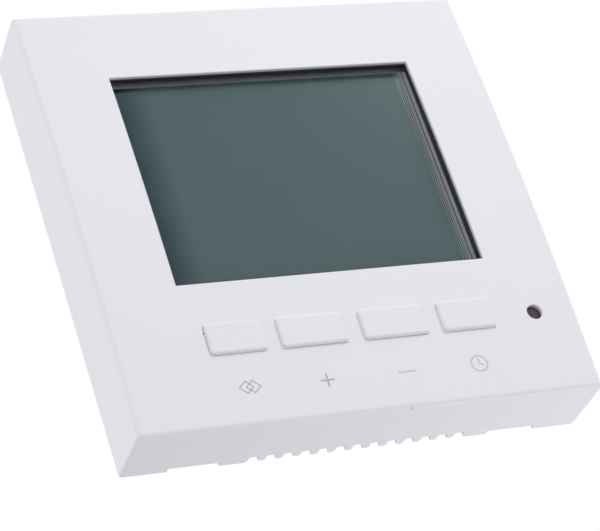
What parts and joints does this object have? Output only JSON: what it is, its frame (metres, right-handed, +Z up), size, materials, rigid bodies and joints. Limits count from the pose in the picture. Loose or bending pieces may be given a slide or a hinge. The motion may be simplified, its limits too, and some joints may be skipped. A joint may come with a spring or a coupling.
{
  "type": "wall thermostat",
  "caption": "Square flush-mounted wall thermostat: display window over a row of press keys, vented white cover on a steel wall plate, rear body with screw terminals.",
  "frame": {"origin": "on the wall plane, at the middle of the mounting plate and midway between its two wall screw slots", "axes": "+X right, +Y into the wall, +Z up; the display faces -Y"},
  "size_m": [0.086, 0.0397, 0.086],
  "materials": {
    "white_shell": "fine satin moulded texture",
    "white_keys": "fine satin moulded texture",
    "black_plastic": "satin",
    "clear_pane": "polished, clear",
    "lcd_glass": "reflective display, switched off",
    "light_guide": "frosted",
    "lamp_body": "translucent",
    "contact_rubber": "striped conductive rubber",
    "dark_lens": "polished, dark red tint",
    "circuit_board": "green solder mask",
    "zinc_steel": "bright zinc",
    "chip_black": "moulded epoxy",
    "cell_steel": "bright nickel",
    "sensor_bead": "dipped epoxy",
    "plate_steel": "galvanised sheet",
    "base_plastic": "fine spark-eroded texture",
    "relay_case": "moulded",
    "capacitor_case": "moulded",
    "capacitor_sleeve": "shrink sleeve",
    "varistor_coat": "dipped epoxy",
    "transformer_tape": "wound tape",
    "terminal_plastic": "moulded",
    "clamp_brass": "plated",
    "pin_brass": "gold flash"
  },
  "bodies": {
    "base": {"mounting_plate": "plate_steel", "base_lid": "base_plastic", "rear_housing": "base_plastic", "power_board": "circuit_board", "relay": "relay_case", "film_capacitor": "capacitor_case", "electrolytic_capacitors": "capacitor_sleeve", "varistor": "varistor_coat", "fuse": "chip_black", "transformer": "transformer_tape", "terminal_block": "terminal_plastic", "terminal_clamps": "clamp_brass", "terminal_screws": "zinc_steel", "lid_screws": "zinc_steel", "power_board_screws": "zinc_steel", "pin_strip": "black_plastic", "header_pins": "pin_brass"},
    "front_unit": {"front_cover": "white_shell", "display_window": "clear_pane", "display_bezel": "black_plastic", "lcd_panel": "lcd_glass", "light_guide": "light_guide", "backlight_lamps": "lamp_body", "contact_strip": "contact_rubber", "tact_switches": "black_plastic", "indicator_lens": "dark_lens", "indicator_lamp": "lamp_body", "logic_board": "circuit_board", "board_screws": "zinc_steel", "microcontroller": "chip_black", "clock_crystal": "zinc_steel", "cell_holder": "black_plastic", "backup_cell": "cell_steel", "room_thermistor": "sensor_bead", "socket_strip": "black_plastic"},
    "menu_key": {"key_menu": "white_keys", "plunger_menu": "black_plastic"},
    "plus_key": {"key_plus": "white_keys", "plunger_plus": "black_plastic"},
    "minus_key": {"key_minus": "white_keys", "plunger_minus": "black_plastic"},
    "clock_key": {"key_clock": "white_keys", "plunger_clock": "black_plastic"}
  },
  "joints": [
    {"name": "front_unit_pull", "type": "slide", "parent": "base", "child": "front_unit", "axis": [0, -1, 0], "range_m": [0, 0.02]},
    {"name": "menu_key_press", "type": "slide", "parent": "front_unit", "child": "menu_key", "axis": [0, 1, 0], "range_m": [0, 0.0004], "stiffness_N_per_m": 2500},
    {"name": "plus_key_press", "type": "slide", "parent": "front_unit", "child": "plus_key", "axis": [0, 1, 0], "range_m": [0, 0.0004], "stiffness_N_per_m": 2500},
    {"name": "minus_key_press", "type": "slide", "parent": "front_unit", "child": "minus_key", "axis": [0, 1, 0], "range_m": [0, 0.0004], "stiffness_N_per_m": 2500},
    {"name": "clock_key_press", "type": "slide", "parent": "front_unit", "child": "clock_key", "axis": [0, 1, 0], "range_m": [0, 0.0004], "stiffness_N_per_m": 2500}
  ]
}
